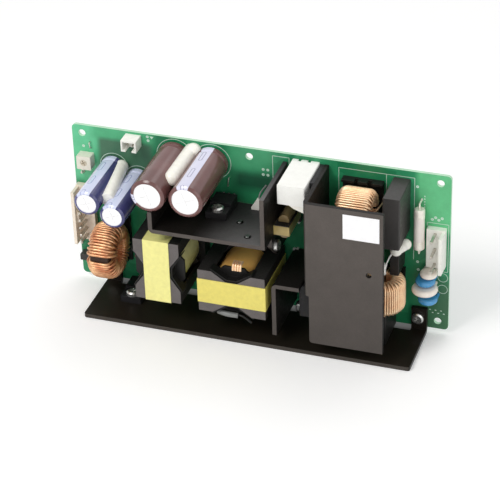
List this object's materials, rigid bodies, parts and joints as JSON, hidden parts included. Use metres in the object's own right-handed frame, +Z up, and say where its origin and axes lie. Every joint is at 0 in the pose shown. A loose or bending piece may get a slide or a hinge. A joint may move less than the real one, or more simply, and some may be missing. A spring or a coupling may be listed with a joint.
{
  "type": "open frame power supply",
  "caption": "Open frame power supply: upright circuit board on a black sheet base, with folded heatsinks, taped transformers, copper toroids and sleeved capacitors.",
  "frame": {"origin": "under the middle of the object, on the plane of the base plate's underside", "axes": "+X along the circuit board, +Y from the components to the board's back, +Z up"},
  "size_m": [0.18, 0.0402, 0.0842],
  "materials": {
    "green_solder_mask": "satin solder mask over glass laminate",
    "black_sheet": "smooth black coated sheet",
    "black_anodised": "matt black anodised sheet",
    "zinc_steel": "bright zinc plating",
    "black_epoxy": "moulded epoxy",
    "tinned_metal": "tinned wire",
    "grey_insulator": "matt insulating sheet",
    "white_bead": "glazed bead",
    "can_aluminium": "bright drawn can",
    "brown_sleeve": "glossy shrunk sleeve",
    "blue_sleeve": "glossy shrunk sleeve",
    "black_rubber": "matt rubber",
    "ferrite": "matt ground ferrite",
    "black_bobbin": "moulded phenolic",
    "cream_winding_tape": "polyester tape",
    "yellow_tape": "polyester tape",
    "amber_winding_tape": "polyester tape over copper",
    "amber_tape": "polyester tape",
    "brown_winding_tape": "polyester tape",
    "coil_core_paint": "painted powder core",
    "choke_core_paint": "painted ferrite",
    "copper_wire": "enamelled copper",
    "pale_copper_wire": "enamelled copper",
    "white_ceramic": "matt cast ceramic",
    "grey_case": "moulded case",
    "dark_case": "moulded case",
    "fuse_ceramic": "glazed tube",
    "white_nylon": "moulded nylon",
    "tan_nylon": "moulded nylon",
    "trimmer_plastic": "moulded plastic",
    "rotor_metal": "dull brass",
    "blue_epoxy": "dipped epoxy",
    "cream_epoxy": "dipped epoxy",
    "pink_lacquer": "lacquered body",
    "white_silicone": "cured silicone",
    "solder": "bright solder"
  },
  "bodies": {
    "supply": {"pcb": "green_solder_mask", "base_plate": "black_sheet", "tab_screws": "zinc_steel", "panel_heatsink": "black_anodised", "channel_heatsink": "black_anodised", "angle_heatsink": "black_anodised", "heatsink_screws": "zinc_steel", "shelf_transistor": "black_epoxy", "wall_transistor": "black_epoxy", "plate_rectifier": "black_epoxy", "transistor_leads": "tinned_metal", "wall_insulator": "grey_insulator", "thermistor_bead": "white_bead", "brown_cap_cans": "can_aluminium", "brown_cap_sleeves": "brown_sleeve", "blue_cap_cans": "can_aluminium", "blue_cap_sleeves": "blue_sleeve", "cap_seals": "black_rubber", "t1_core": "ferrite", "t1_bobbin": "black_bobbin", "t1_winding": "cream_winding_tape", "t1_tape": "yellow_tape", "t2_core": "ferrite", "t2_bobbin": "black_bobbin", "t2_winding": "amber_winding_tape", "t2_tape": "amber_tape", "t3_core": "ferrite", "t3_winding": "brown_winding_tape", "t3_tape": "amber_tape", "t3_base": "black_bobbin", "coil_core": "coil_core_paint", "coil_turns": "copper_wire", "coil_base": "black_bobbin", "choke_cores": "choke_core_paint", "upper_choke_turns": "pale_copper_wire", "lower_choke_turns": "pale_copper_wire", "choke_bases": "black_bobbin", "cement_resistor": "white_ceramic", "film_capacitor": "grey_case", "box_capacitor": "dark_case", "corner_capacitor": "grey_case", "fuse_body": "fuse_ceramic", "fuse_caps": "tinned_metal", "line_header": "white_nylon", "output_header": "tan_nylon", "header_pins": "tinned_metal", "small_header": "white_nylon", "small_header_pins": "tinned_metal", "trimmer_body": "trimmer_plastic", "test_pin": "tinned_metal", "blue_discs": "blue_epoxy", "cream_discs": "cream_epoxy", "small_resistor": "pink_lacquer", "part_leads": "tinned_metal", "silicone_beads": "white_silicone", "solder_joints": "solder"},
    "rotor": {"trimmer_rotor": "rotor_metal"}
  },
  "joints": [
    {"name": "trimmer_turn", "type": "hinge", "parent": "supply", "child": "rotor", "pos_m": [-0.0833, 0.0125, 0.06675], "axis": [0, -1, 0], "range_deg": [-130, 130]}
  ]
}
